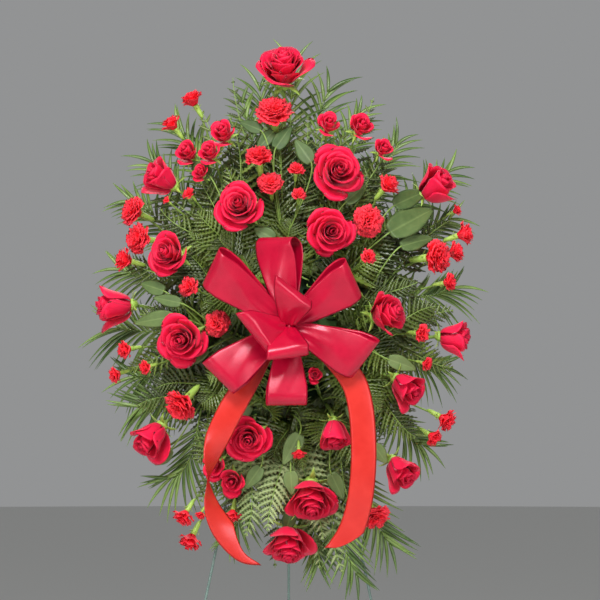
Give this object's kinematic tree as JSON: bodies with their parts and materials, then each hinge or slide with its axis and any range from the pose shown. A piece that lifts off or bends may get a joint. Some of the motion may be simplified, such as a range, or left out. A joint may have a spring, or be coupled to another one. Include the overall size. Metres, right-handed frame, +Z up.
{
  "type": "standing funeral arrangement",
  "caption": "Standing spray of red roses, carnations, palm and fern round a satin bow with banner tails, in a foam cage on a folding wire easel.",
  "frame": {"origin": "on the floor, at the centre of the bounding box, between the front feet and the back foot", "axes": "+Z up, the flowers face -Y, +X is to the viewer's right"},
  "size_m": [0.6327, 0.668, 1.4541],
  "materials": {
    "rose_petals": "satin",
    "carnation_petals": "matte",
    "greenery": "satin",
    "easel_wire": "satin",
    "cage_plastic": "matte",
    "wet_foam": "matte",
    "pick_wood": "matte",
    "bow_satin": "gloss",
    "banner_satin": "gloss"
  },
  "bodies": {
    "stand": {"rose_top": "rose_petals", "rose_upper_left": "rose_petals", "rose_upper_mid_left": "rose_petals", "rose_upper_right": "rose_petals", "rose_mid_right": "rose_petals", "rose_right_high": "rose_petals", "rose_left_high": "rose_petals", "rose_left": "rose_petals", "rose_left_mid": "rose_petals", "rose_right_mid": "rose_petals", "rose_right": "rose_petals", "rose_right_low": "rose_petals", "rose_left_low": "rose_petals", "rose_low_left": "rose_petals", "rose_low_right": "rose_petals", "rose_lower_right": "rose_petals", "rose_low_front": "rose_petals", "rose_bottom": "rose_petals", "carnation_top": "carnation_petals", "carnation_left_high": "carnation_petals", "carnation_left_upper": "carnation_petals", "carnation_mid_right": "carnation_petals", "carnation_right": "carnation_petals", "carnation_mid_left": "carnation_petals", "carnation_left_low": "carnation_petals", "carnation_low_right": "carnation_petals", "carnation_upper_mid": "carnation_petals", "carnation_centre_high": "carnation_petals", "greenery_top": "greenery", "greenery_upper_left": "greenery", "greenery_left_up": "greenery", "greenery_left": "greenery", "greenery_left_low": "greenery", "greenery_low_left": "greenery", "greenery_bottom": "greenery", "greenery_low_right": "greenery", "greenery_right_low": "greenery", "greenery_right": "greenery", "greenery_right_up": "greenery", "greenery_up_right": "greenery", "greenery_top_right": "greenery", "front_leg_left": "easel_wire", "front_leg_right": "easel_wire", "hinge_wire": "easel_wire", "cross_wire_with_hooks": "easel_wire", "tie_wire": "easel_wire", "foam_cage": "cage_plastic", "floral_foam": "wet_foam", "bow_pick": "pick_wood", "bow": "bow_satin", "banner_tail_left": "banner_satin", "banner_tail_right": "banner_satin"},
    "back_leg_body": {"back_leg": "easel_wire"}
  },
  "joints": [
    {"name": "back_leg_hinge", "type": "hinge", "parent": "stand", "child": "back_leg_body", "pos_m": [0.0078, -0.0179, 1.18], "axis": [1, 0, 0], "range_deg": [-22, 0]}
  ]
}
